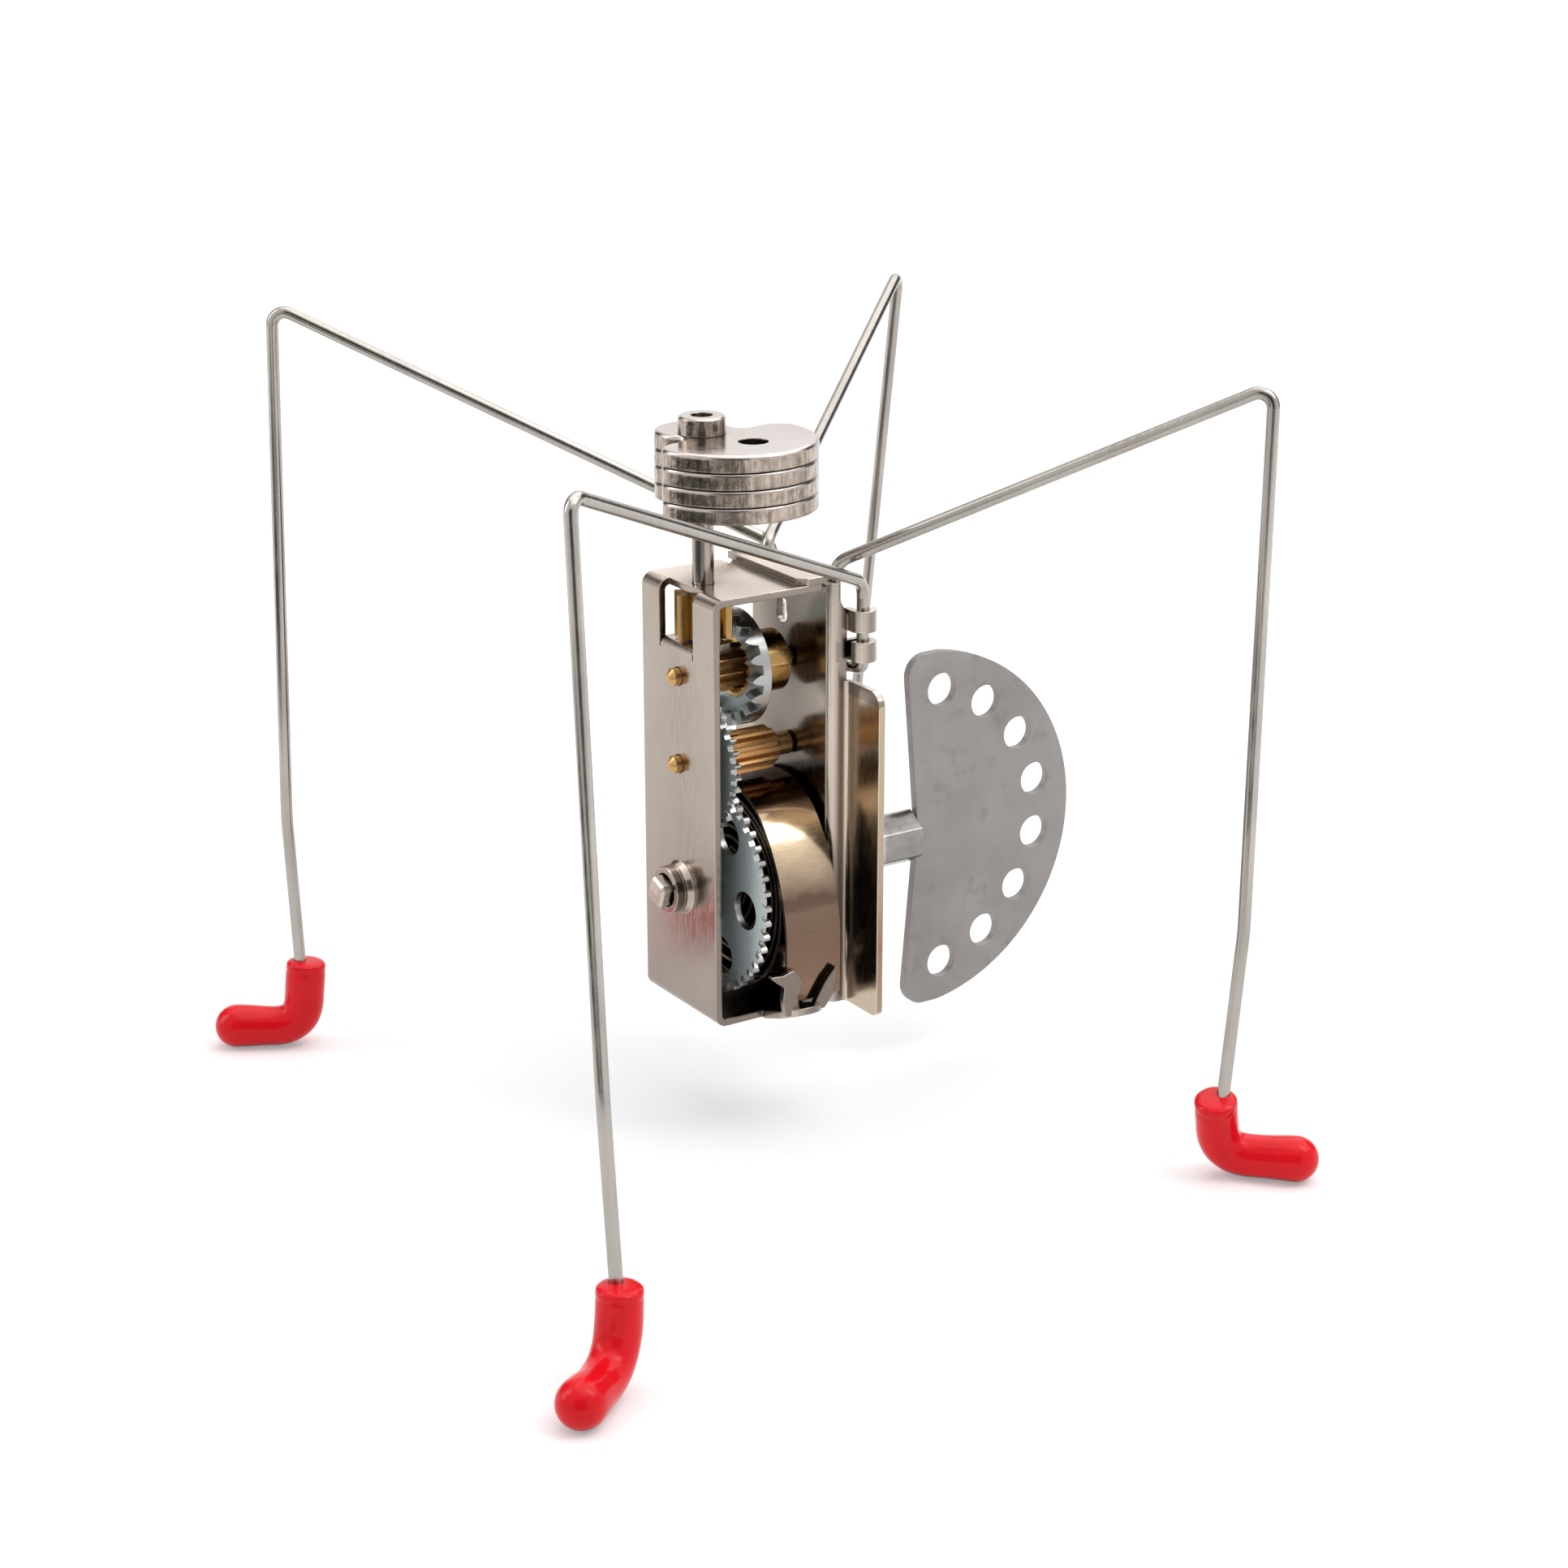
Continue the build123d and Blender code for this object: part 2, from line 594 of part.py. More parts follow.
def ring_sector(inner, outer, start, end):
    """Part of a flat ring between two angles in degrees."""
    edges = []
    half = math.radians((start + end) / 2)
    first = math.radians(start)
    last = math.radians(end)

    def at(radius, angle):
        return (radius * math.cos(angle), radius * math.sin(angle))
    edges.append(ThreePointArc(at(outer, first), at(outer, half), at(outer, last)))
    edges.append(Line(at(outer, last), at(inner, last)))
    edges.append(ThreePointArc(at(inner, last), at(inner, half), at(inner, first)))
    edges.append(Line(at(inner, first), at(outer, first)))
    return Face(Wire(edges))


def wire_tabs():
    """Two tabs on the +Y side, curled round the leg wire."""
    curl = Pos(RING_X, RING_Y)
    way = (0, 0, 1)
    low, high = UPPER_TAB
    half = Plane.XY.offset(low) * curl * ring_sector(CURL_IN, CURL_OUT, 0, 180)
    upper = extrude(half, amount=high - low, dir=way)
    inside = FLANGE_OUT - SHEET
    arm = block(RING_X - CURL_OUT, RING_X - CURL_IN, inside, RING_Y, low, high)
    arm += block(FRAME_DEPTH + SHEET, RING_X - CURL_IN, inside, FLANGE_OUT, low, high - 0.6)
    low, high = LOWER_TAB
    most = Plane.XY.offset(low) * curl * ring_sector(CURL_IN, CURL_OUT, -90, 180)
    lower = extrude(most, amount=high - low, dir=way)
    root = block(FRAME_DEPTH, RING_X, RING_Y - CURL_OUT, RING_Y - CURL_IN, low, high)
    return upper + arm + lower + root


def anchor_leaf(corners):
    """Pointed prong standing outside the spring strip."""
    return slab(corners, side_plane(ANCHOR_FACE), SHEET)


def spring_anchor():
    """Tongue with prongs that holds the outer end of the spring."""
    root = -(EDGE_Y - 0.6)
    bend = -(EDGE_Y + 0.475)
    end = ANCHOR_FACE - 1.6
    floor = FRAME_BOTTOM + SHEET
    slope = [(root, FRAME_BOTTOM, 0), (bend, FRAME_BOTTOM, 2.0), (end, FRAME_BOTTOM + 1.75, 0),
             (end, FRAME_BOTTOM + 2.5, 0), (bend + 0.1, floor, 1.3), (root, floor, 0)]
    tongue = slab(slope, cross_plane(ANCHOR_FRONT), ANCHOR_WIDTH)
    back = ANCHOR_FRONT + ANCHOR_WIDTH
    corner = ANCHOR_WIDTH / 2 - 0.01
    outline = [(ANCHOR_FRONT, root + 2, 0), (back, root + 2, 0), (back, end + 0.1, corner),
               (ANCHOR_FRONT, end + 0.1, corner)]
    tongue &= slab(outline, Plane.XY.offset(FRAME_BOTTOM - CUT), 5)
    near = [(5.4, 14.1, 0), (7.2, 14.1, 0), (6.8, 15.9, 0.8), (7.5, 17.5, 0.8), (6.5, 19.0, 0.55),
            (5.2, 18.6, 0.5), (3.5, 18.75, 0.12), (4.5, 17.85, 0.3), (5.3, 17.3, 0.5),
            (5.1, 15.9, 0.8)]
    far = [(8.6, 14.1, 0), (10.1, 14.1, 0), (11.3, 15.6, 1.2), (11.75, 18.5, 0.15),
           (10.3, 17.0, 1.0), (9.4, 15.6, 0.6)]
    return tongue + anchor_leaf(near) + anchor_leaf(far)


def arbor_collar():
    """Collar drawn out of the front plate round the winding arbor."""
    collar = rod(-COLLAR_OUT, SHEET / 2, WINDING_Z, COLLAR_D / 2)
    flare = Pos(0, 0, WINDING_Z) * Rot(0, -90, 0) * Cone(COLLAR_D / 2 + 0.3, COLLAR_D / 2, 0.6,
                                                      align=(Align.CENTER, Align.CENTER, Align.MIN))
    groove = rod(-1.02, -0.9, WINDING_Z, COLLAR_D) - rod(-1.1, -0.8, WINDING_Z, COLLAR_D / 2 - 0.15)
    return collar + flare - groove


def shelf_tab():
    """Tab folded in from the window; it carries the foot of the rotor shaft."""
    low = SHELF_TOP - SHEET
    start = WINDOW_BOTTOM - 1.5
    left, right = WINDOW_SIDES
    corners = [(0, start, 0), (SHEET, start, 0), (SHEET, low, 0.25),
               (SHELF_END, low, 0), (SHELF_END, SHELF_TOP, 0), (0, SHELF_TOP, SHELF_BEND)]
    width = right - left - 2 * SHELF_MARGIN
    return slab(corners, side_plane(right - SHELF_MARGIN), width)


def front_window():
    """Opening through the front plate and the top bend."""
    left, right = WINDOW_SIDES
    top = FRAME_TOP + CUT
    corners = [(left, WINDOW_BOTTOM - 0.4, 0.3), (right, WINDOW_BOTTOM - 0.4, 0.3),
               (right, top, 0), (left, top, 0)]
    return slab(corners, cross_plane(-CUT), WINDOW_BACK + CUT)


def keyhole():
    """Hanging slot in the rear plate."""
    front = REAR_INSIDE - CUT
    slot = [(0.5, 52.0, 0), (2.1, 52.0, 0), (2.1, 53.95, 0.3), (0.5, 53.95, 0.3)]
    cut = slab(slot, cross_plane(front), SHEET + 2 * CUT)
    return cut + Pos(0, 1.3, 0) * rod(front, FRAME_DEPTH + CUT, 52.3, 0.95)


def frame():
    """Folded frame with bearings, window, wings, wire tabs and spring anchor."""
    body = folded_strip()
    for side in (-1, 1):
        body -= lap_corner(side)
    body -= front_window()
    body += shelf_tab()
    body += arbor_collar()
    right = wing() + wire_tabs()
    body += right
    body += mirrored(right)
    body += spring_anchor()
    body -= keyhole()
    rear = FRAME_DEPTH + CUT
    middle = FRAME_DEPTH / 2
    body -= rod(-COLLAR_OUT - CUT, rear, WINDING_Z, ARBOR_D / 2 + RUN_GAP)
    for height in (SECOND_Z, THIRD_Z):
        body -= rod(-CUT, middle, height, PIVOT_D / 2 + RUN_GAP)
        body -= rod(middle, rear, height, REAR_PIVOT_D / 2 + RUN_GAP)
    body -= post(FRAME_TOP - SHEET - CUT, FRAME_TOP + CUT, SHAFT_D / 2 + RUN_GAP)
    body -= post(SHELF_TOP - SHEET - CUT, SHELF_TOP + CUT, FOOT_PIVOT_D / 2 + RUN_GAP)
    return body


# ================================================================ spring
def strip_face(arcs):
    """Constant-thickness band along tangent arcs of (cy, cz, radius, start, end)."""
    half = STRIP / 2
    outer = []
    inner = []

    def at(arc, offset, angle):
        cy, cz, radius = arc[0], arc[1], arc[2] + offset
        return (cy + radius * math.cos(angle), cz + radius * math.sin(angle))
    for arc in arcs:
        first, last = math.radians(arc[3]), math.radians(arc[4])
        middle = (first + last) / 2
        outer.append(ThreePointArc(at(arc, half, first), at(arc, half, middle), at(arc, half, last)))
        inner.append(ThreePointArc(at(arc, -half, last), at(arc, -half, middle), at(arc, -half, first)))
    inner.reverse()
    end = Line(outer[-1] @ 1, inner[0] @ 0)
    start = Line(inner[-1] @ 1, outer[0] @ 0)
    return Face(Wire(outer + [end] + inner + [start]))


def next_arc(arc, radius, sweep_angle):
    """Arc that carries on tangentially with another radius."""
    angle = math.radians(arc[4])
    cy = arc[0] + (arc[2] - radius) * math.cos(angle)
    cz = arc[1] + (arc[2] - radius) * math.sin(angle)
    return (cy, cz, radius, arc[4], arc[4] + sweep_angle)


def mainspring():
    """Coiled strip whose outer end swings out and stands on the anchor tongue."""
    arcs = [(0.0, WINDING_Z + COIL_TOPS[0] - EYE_R, EYE_R, -20, 90)]
    for index, low in enumerate(COIL_BOTTOMS):
        arcs.append(next_arc(arcs[-1], (COIL_TOPS[index] + low) / 2, 180))
        arcs.append(next_arc(arcs[-1], (low + COIL_TOPS[index + 1]) / 2, 180))
    for radius, angle in OUTER_SWING:
        arcs.append(next_arc(arcs[-1], radius, angle))
    band = strip_face(arcs)
    return extrude(cross_plane(STRIP_FRONT) * band, amount=STRIP_BACK - STRIP_FRONT, dir=(1, 0, 0))


# ================================================================ legs
LEGS = {
    "front": {"corner": (RING_X, -RING_Y, 57.35), "knee": (-30.44, -33.52, 77.49),
              "sock": (-33.2, -43.65, BOOT_TOP), "rim": (-0.05, -0.7, 0.25),
              "heel": (-0.5, -0.95), "toe": (-6.15, -4.4)},
    "left": {"corner": (RING_X, RING_Y, 57.75), "knee": (-23.47, 41.28, 81.45),
             "sock": (-25.03, 39.39, BOOT_TOP), "rim": (0.63, -0.14, 0.25),
             "heel": (-0.17, -0.19), "toe": (-6.3, 3.5)},
    "right": {"corner": (POST_X, -POST_Y, 59.1), "knee": (43.15, -37.79, 79.22),
              "sock": (37.63, -41.75, BOOT_TOP), "rim": (-1.03, 0.0, -0.4),
              "heel": (0.67, 1.05), "toe": (5.35, -5.45)},
    "back": {"corner": (POST_X, POST_Y, 58.4), "knee": (52.32, 36.96, 78.52),
             "sock": (47.3, 40.7, BOOT_TOP), "rim": (-0.9, -0.1, -0.2),
             "heel": (0.6, -1.0), "toe": (5.2, 5.4)}}


def ankle(leg):
    """Slight bend of the shin, pushed outward from the straight line."""
    knee, sock = leg["knee"], leg["sock"]
    share = (knee[2] - ANKLE_Z) / (knee[2] - sock[2])
    flat = unit((sock[0] - 8.0, sock[1], 0.0))
    base = tuple(k + (s - k) * share for k, s in zip(knee, sock))
    return step(base, flat, ANKLE_OUT)


def wire_tip(leg):
    """Lower end of the wire inside the boot."""
    down = toward(ankle(leg), leg["sock"])
    return step(leg["sock"], down, (WIRE_END - BOOT_TOP) / down[2])


def leg_wire(outer, inner):
    """One wire with two legs, bent round the frame flange in between."""
    first, second = LEGS[outer], LEGS[inner]
    side = 1 if first["corner"][1] > 0 else -1
    corners = [wire_tip(first), ankle(first), first["knee"], first["corner"],
               (RING_X, side * RING_Y, LOOP_Z), (RING_X - 0.35, side * POST_Y, LOOP_Z),
               (POST_X, side * POST_Y, LOOP_Z), second["corner"], second["knee"],
               ankle(second), wire_tip(second)]
    radii = [ANKLE_BEND, KNEE_BEND, CORNER_BEND, LOOP_BEND, LOOP_BEND, LOOP_BEND,
             CORNER_BEND, KNEE_BEND, ANKLE_BEND]
    return round_sweep(corners, radii, WIRE_R)


def toe_cap(start, toe):
    """Round toe with a slightly conical instep behind it."""
    cone = Cone(BOOT_R, TOE_R, math.dist(start, toe), align=(Align.CENTER, Align.CENTER, Align.MIN))
    return Plane(origin=start, z_dir=toward(start, toe)) * cone + Pos(*toe) * Sphere(TOE_R)


def boot(name):
    """Soft boot: bent tube, round toe, small flat sole and a bore for the wire."""
    leg = LEGS[name]
    sock = leg["sock"]
    rim = tuple(s + r for s, r in zip(sock, leg["rim"]))
    heel = (sock[0] + leg["heel"][0], sock[1] + leg["heel"][1], BOOT_R - SOLE_FLAT)
    toe = (heel[0] + leg["toe"][0], heel[1] + leg["toe"][1], TOE_R - SOLE_FLAT)
    start = step(heel, toward(heel, toe), HEEL_BEND + 0.5)
    tube = round_sweep([rim, heel, start], [HEEL_BEND], BOOT_R)
    top = tube.faces().sort_by(Axis.Z)[-1]
    body = fillet(top.edges(), BOOT_EDGE) + toe_cap(start, toe)
    body &= Pos(toe[0], toe[1], BOOT_TOP) * Box(40, 40, 2 * BOOT_TOP)
    down = toward(ankle(leg), leg["sock"])
    bore = round_sweep([step(leg["sock"], down, -2), wire_tip(leg)], [], WIRE_R + WIRE_GAP)
    return body - bore


# ================================================================ output
def build():
    """All pieces by name in the working frame."""
    nodes = {
        "frame": frame(),
        "mainspring": mainspring(),
        "near_leg_wire": leg_wire("front", "right"),
        "far_leg_wire": leg_wire("left", "back"),
        "winding_arbor": winding_arbor(),
        "ratchet_wheel": ratchet_wheel(),
        "key_sleeve": key_sleeve(),
        "key_plate": key_plate(),
        "main_gear": main_gear(),
        "click_spring": click_spring(),
        "second_pinion": second_pinion(),
        "second_gear": second_gear(),
        "third_pinion": third_pinion(),
        "crown_wheel": crown_wheel(),
        "crown_hub": crown_hub(),
        "rotor_shaft": rotor_shaft(),
        "rotor_pinion": rotor_pinion(),
        "rotor_hub": rotor_hub()}
    for name in LEGS:
        nodes["boot_" + name] = boot(name)
    for index in range(PLATE_COUNT):
        nodes["weight_plate_" + str(index + 1)] = weight_plate(index)
    return nodes


def footprint_move(nodes):
    """Shift that puts the middle of the footprint at the origin."""
    boxes = [solid.bounding_box() for solid in nodes.values()]
    low_x = min(box.min.X for box in boxes)
    high_x = max(box.max.X for box in boxes)
    low_y = min(box.min.Y for box in boxes)
    high_y = max(box.max.Y for box in boxes)
    low_z = min(box.min.Z for box in boxes)
    return Pos(-(low_x + high_x) / 2, -(low_y + high_y) / 2, -low_z)


def main():
    nodes = build()
    move = footprint_move(nodes)
    os.makedirs("parts", exist_ok=True)
    for name, solid in nodes.items():
        export_step(move * solid, "parts/" + name + ".step")
    print("moved by", move.position)


main()
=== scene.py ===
import json
import math

import bmesh
import bpy
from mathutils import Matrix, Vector, noise


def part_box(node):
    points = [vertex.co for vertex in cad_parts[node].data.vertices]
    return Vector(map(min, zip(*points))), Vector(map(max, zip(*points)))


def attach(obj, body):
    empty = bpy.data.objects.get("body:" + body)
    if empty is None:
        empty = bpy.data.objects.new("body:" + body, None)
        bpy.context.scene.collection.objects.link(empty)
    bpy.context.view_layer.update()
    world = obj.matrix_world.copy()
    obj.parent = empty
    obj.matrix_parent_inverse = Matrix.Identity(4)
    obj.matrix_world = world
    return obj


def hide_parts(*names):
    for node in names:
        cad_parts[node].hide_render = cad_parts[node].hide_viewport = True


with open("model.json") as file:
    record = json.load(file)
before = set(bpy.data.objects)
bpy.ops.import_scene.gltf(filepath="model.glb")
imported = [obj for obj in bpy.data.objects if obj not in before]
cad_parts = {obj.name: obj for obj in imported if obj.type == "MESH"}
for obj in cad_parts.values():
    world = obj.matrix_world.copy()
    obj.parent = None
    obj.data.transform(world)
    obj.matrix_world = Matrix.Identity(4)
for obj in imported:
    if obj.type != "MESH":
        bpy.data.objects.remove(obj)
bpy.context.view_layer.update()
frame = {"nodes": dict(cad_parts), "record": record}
MM = 0.001                 # the scene's unit is the metre
FRAME_LOW, FRAME_HIGH = (Vector(corner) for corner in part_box("frame"))

# ------------------------------------------------------------------ camera
AZIMUTH = -33.018          # degrees from the -Y side, growing towards +X
ELEVATION = 18.900
DISTANCE = 0.31585
LENS = 71.82
SENSOR = 36.0
AIM = Vector((FRAME_LOW.x + 0.01068, (FRAME_LOW.y + FRAME_HIGH.y) / 2 - 0.00577,
              FRAME_LOW.z + 0.02432))


def add_object(name, data):
    """New object in the scene."""
    thing = bpy.data.objects.new(name, data)
    bpy.context.scene.collection.objects.link(thing)
    return thing


def face_aim(thing, azimuth, elevation, distance):
    """Stand a camera, lamp or flag off the aim point, turned towards it."""
    turn, rise = math.radians(azimuth), math.radians(elevation)
    way = Vector((math.sin(turn) * math.cos(rise), -math.cos(turn) * math.cos(rise),
                  math.sin(rise)))
    thing.location = AIM + way * distance
    thing.rotation_euler = way.to_track_quat("Z", "Y").to_euler()


def add_camera():
    """Camera at the viewing angle, looking at the aim point."""
    data = bpy.data.cameras.new("camera")
    data.lens = LENS
    data.sensor_width = SENSOR
    data.clip_start = 0.01
    data.clip_end = 20.0
    camera = add_object("camera", data)
    face_aim(camera, AZIMUTH, ELEVATION, DISTANCE)
    bpy.context.scene.camera = camera


# ------------------------------------------------------------------ node helpers
class Tree:
    """Short ways to build a node tree. A value can be a number, a tuple or a socket."""

    def __init__(self, tree):
        self.tree = tree

    def add(self, kind, operation=None, **inputs):
        """New node with its inputs set by name, an underscore standing for a space."""
        node = self.tree.nodes.new(kind)
        if operation is not None:
            node.operation = operation
        for key, value in inputs.items():
            self.put(node.inputs[key.replace("_", " ")], value)
        return node

    def put(self, socket, value):
        """Link or set one input."""
        if hasattr(value, "is_output"):
            self.tree.links.new(value, socket)
        else:
            socket.default_value = value

    def maths(self, operation, first, second=0.0):
        """One step of arithmetic."""
        node = self.add("ShaderNodeMath", operation)
        self.put(node.inputs[0], first)
        self.put(node.inputs[1], second)
        return node.outputs[0]

    def times(self, first, *others):
        """Product of all the values."""
        for other in others:
            first = self.maths("MULTIPLY", first, other)
        return first

    def remap(self, value, low, high, start=0.35, end=0.65):
        """Value carried from the range start to end into the range low to high."""
        node = self.add("ShaderNodeMapRange", Value=value, From_Min=start, From_Max=end,
                        To_Min=low, To_Max=high)
        return node.outputs["Result"]

    def seen_directly(self):
        """1 for camera, glossy and transmission rays, 0 for the others."""
        path = self.add("ShaderNodeLightPath")
        seen = path.outputs["Is Camera Ray"]
        for name in ("Is Glossy Ray", "Is Transmission Ray"):
            seen = self.maths("MAXIMUM", seen, path.outputs[name])
        return seen

    def choose(self, factor, first, second):
        """Shader that goes from first to second."""
        node = self.add("ShaderNodeMixShader")
        for socket, value in zip(node.inputs, (factor, first.outputs[0], second.outputs[0])):
            self.put(socket, value)
        return node


class Surface(Tree):
    """Node tree of one surface material."""

    def __init__(self, name):
        self.material = bpy.data.materials.new(name)
        self.material.use_nodes = True
        super().__init__(self.material.node_tree)
        self.shader = self.tree.nodes["Principled BSDF"]
        self.place = self.add("ShaderNodeTexCoord").outputs["Object"]

    def noise(self, scale, detail=3.0, stretch=(1, 1, 1), roughness=0.55):
        """Noise from 0 to 1 in the object's own coordinates."""
        spread = self.add("ShaderNodeMapping", Vector=self.place, Scale=stretch)
        node = self.add("ShaderNodeTexNoise", Vector=spread.outputs["Vector"], Scale=scale,
                        Detail=detail, Roughness=roughness)
        return node.outputs["Fac"]

    def colours(self, value, stops):
        """Colour ramp through stops of (position, colour)."""
        node = self.add("ShaderNodeValToRGB", Fac=value)
        ramp = node.color_ramp
        while len(ramp.elements) < len(stops):
            ramp.elements.new(0.5)
        for element, (position, colour) in zip(ramp.elements, stops):
            element.position = position
            element.color = (*colour, 1.0)
        return node.outputs["Color"]

    def mix(self, factor, first, second):
        """Colour that goes from first to second."""
        node = self.add("ShaderNodeMix")
        node.data_type = "RGBA"
        sockets = [socket for socket in node.inputs if socket.enabled]
        self.put(sockets[0], factor)
        for socket, value in ((sockets[1], first), (sockets[2], second)):
            self.put(socket, (*value, 1.0) if isinstance(value, tuple) else value)
        return next(socket for socket in node.outputs if socket.enabled)

    def shade(self, colour, *factors):
        """Colour multiplied by every factor in turn."""
        for factor in factors:
            node = self.add("ShaderNodeVectorMath", "SCALE", Scale=factor)
            self.put(node.inputs[0], colour)
            colour = node.outputs[0]
        return colour

    def bump(self, layers, edge=0.00012):
        """Stack of (height, strength, distance) bumps over softly rounded edges."""
        soft = self.add("ShaderNodeBevel", Radius=edge)
        soft.samples = 4
        normal = self.soft = soft.outputs["Normal"]
        for height, strength, distance in layers:
            node = self.add("ShaderNodeBump", Strength=strength, Distance=distance,
                            Height=height, Normal=normal)
            normal = node.outputs["Normal"]
        self.put(self.shader.inputs["Normal"], normal)

    def split(self, vector):
        """X, Y and Z of a vector."""
        node = self.add("ShaderNodeSeparateXYZ")
        self.put(node.inputs[0], vector)
        return node.outputs

    def normal(self):
        """X, Y and Z of the surface normal."""
        return self.split(self.add("ShaderNodeNewGeometry").outputs["Normal"])

    def facing(self, axis):
        """1 on faces square to the axis, 0 on faces along it."""
        return self.maths("ABSOLUTE", self.normal()[axis])

    def rounded(self, gain):
        """Multiplier above 1 along edges: a painted highlight where rounded edges catch the
        light.
        """
        node = self.add("ShaderNodeVectorMath", "DOT_PRODUCT")
        self.put(node.inputs[0], self.soft)
        self.put(node.inputs[1], self.add("ShaderNodeNewGeometry").outputs["Normal"])
        return self.remap(node.outputs["Value"], gain, 1.0, 0.80, 0.985)

    def painted_hollow_shade(self, distance, darkest):
        """Multiplier that falls from 1 to darkest in hollows and corners: painted shade."""
        node = self.add("ShaderNodeAmbientOcclusion", Distance=distance)
        node.samples = 8
        return self.remap(node.outputs["AO"], darkest, 1.0, 0.15, 0.75)

    def base(self):
        """What feeds the base colour."""
        return self.shader.inputs["Base Color"].links[0].from_socket

    def set_shader(self, **inputs):
        """Set or link inputs of the shader, an underscore standing for a space."""
        for key, value in inputs.items():
            self.put(self.shader.inputs[key.replace("_", " ")], value)


# ------------------------------------------------------------------ materials
def metal(name, tones=None, rough=None, grain=(1, 1, 1), grain_scale=900, patch_scale=70,
          bump=None, edge=0.00012, wear=None, painted_hollow_shade=None, metallic=1.0):
    """Metal with fine grain, soft patches and rounded edges.

    tones are its darker and lighter colour, rough the two ends of its roughness, grain how
    the grain is stretched along X, Y and Z, wear (colour, scale, share) of worn spots and
    painted_hollow_shade (distance, darkest) of the painted shade in corners. What is None stays
    with the caller.
    """
    look = Surface(name)
    fine = look.noise(grain_scale, 4, grain)
    broad = look.noise(patch_scale, 3)
    look.set_shader(Metallic=metallic)
    if tones is not None:
        tone = look.maths("ADD", look.times(fine, 0.3), look.times(broad, 0.7))
        colour = look.colours(tone, ((0.36, tones[0]), (0.64, tones[1])))
        if wear is not None:
            spot_colour, scale, share = wear
            spots = look.noise(scale, 5, roughness=0.7)
            colour = look.mix(look.remap(spots, 0.0, share, 0.56, 0.7), colour, spot_colour)
        # painted shade in hollows and corners
        if painted_hollow_shade is not None:
            colour = look.shade(colour, look.painted_hollow_shade(*painted_hollow_shade))
        look.set_shader(Base_Color=colour)
    if rough is not None:
        look.set_shader(Roughness=look.remap(fine, *rough))
    if bump is not None:
        look.bump([(fine, bump, 0.00002), (broad, bump * 2, 0.00006)], edge)
    return look


# the open wing of the frame, which carries a painted reflection, from the frame's box, each with
# the width of its soft border
WING_TOP, TOP_FADE = FRAME_LOW.z + 0.0340, 0.0008
WING_ROOT, ROOT_FADE = FRAME_LOW.y + 0.0060, 0.0007
WING_PLANE, PLANE_FADE = FRAME_HIGH.x - 0.0030, 0.0004
# heights that the frame's darker foot and the strip's colour bands lie between; the bands hold a
# painted highlight and painted shade
FOOT_LOW, FOOT_HIGH = FRAME_LOW.z + 0.004, FRAME_LOW.z + 0.022
STRIP_BANDS_LOW, STRIP_BANDS_HIGH = FRAME_LOW.z + 0.002, FRAME_LOW.z + 0.028


def wing_mask(look, place, normal):
    """1 on the wing except its far face: the near one gets a painted reflection of the brass and
    the spring.
    """
    return look.times(look.remap(place["Z"], 1.0, 0.0, WING_TOP - TOP_FADE, WING_TOP),
                      look.remap(place["Y"], 1.0, 0.0, WING_ROOT - ROOT_FADE, WING_ROOT),
                      look.remap(place["X"], 0.0, 1.0, WING_PLANE - PLANE_FADE, WING_PLANE),
                      look.remap(normal["X"], 1.0, 0.0, 0.3, 0.6))


def frame_metal():
    """Nickelled sheet: painted light on top, painted highlights along bends and edges, painted
    shade inside and on the sides, darker at the foot, a painted reflection on the wing.
    """
    look = metal("frame_steel", ((0.365, 0.308, 0.262), (0.44, 0.380, 0.328)), (0.16, 0.24),
                 (1.0, 1.0, 0.15), grain_scale=3500, patch_scale=45, bump=0.008,
                 wear=((0.33, 0.27, 0.23), 260, 0.2), edge=0.00022)
    place = look.split(look.place)
    normal = look.normal()
    wing = wing_mask(look, place, normal)
    # painted shade in corners and hollows; on the wing it becomes a painted brightening of the
    # painted reflection
    painted_corner_shade_and_wing_light = look.maths("MAXIMUM", look.painted_hollow_shade(0.012, 0.12), look.times(wing, 1.5))
    # darker towards the bottom
    foot = look.remap(place["Z"], 0.86, 1.0, FOOT_LOW, FOOT_HIGH)
    # painted light on faces that look up, painted highlights along the bends and the rounded
    # edges, painted shade on faces that look along Y
    top = look.remap(normal["Z"], 1.0, 2.45, 0.8, 1.0)
    bend = look.remap(look.times(normal["X"], normal["Y"]), 1.0, 1.45, 0.05, 0.35)
    side = look.remap(look.maths("ABSOLUTE", normal["Y"]), 1.0, 0.62, 0.8, 0.97)
    # the wing's brown colour is a painted reflection of the brass and the spring
    sheet = look.mix(wing, look.base(), (0.475, 0.39, 0.295))
    look.set_shader(Base_Color=look.shade(sheet, look.times(painted_corner_shade_and_wing_light, foot),
                                          look.times(top, bend, side, look.rounded(1.7))))
    return look.material


def wire_metal():
    """Leg wire, with its grain drawn out along the upright legs."""
    return metal("wire_steel", ((0.33, 0.306, 0.276), (0.45, 0.42, 0.382)), (0.14, 0.24),
                 (1.0, 1.0, 0.06), grain_scale=2400, bump=0.03).material


def shaft_metal():
    """Steel of the upright shaft, with its grain drawn out along it."""
    return metal("shaft_steel", ((0.30, 0.26, 0.23), (0.42, 0.375, 0.34)), (0.12, 0.2),
                 (1.0, 1.0, 0.1), grain_scale=2400, bump=0.02).material


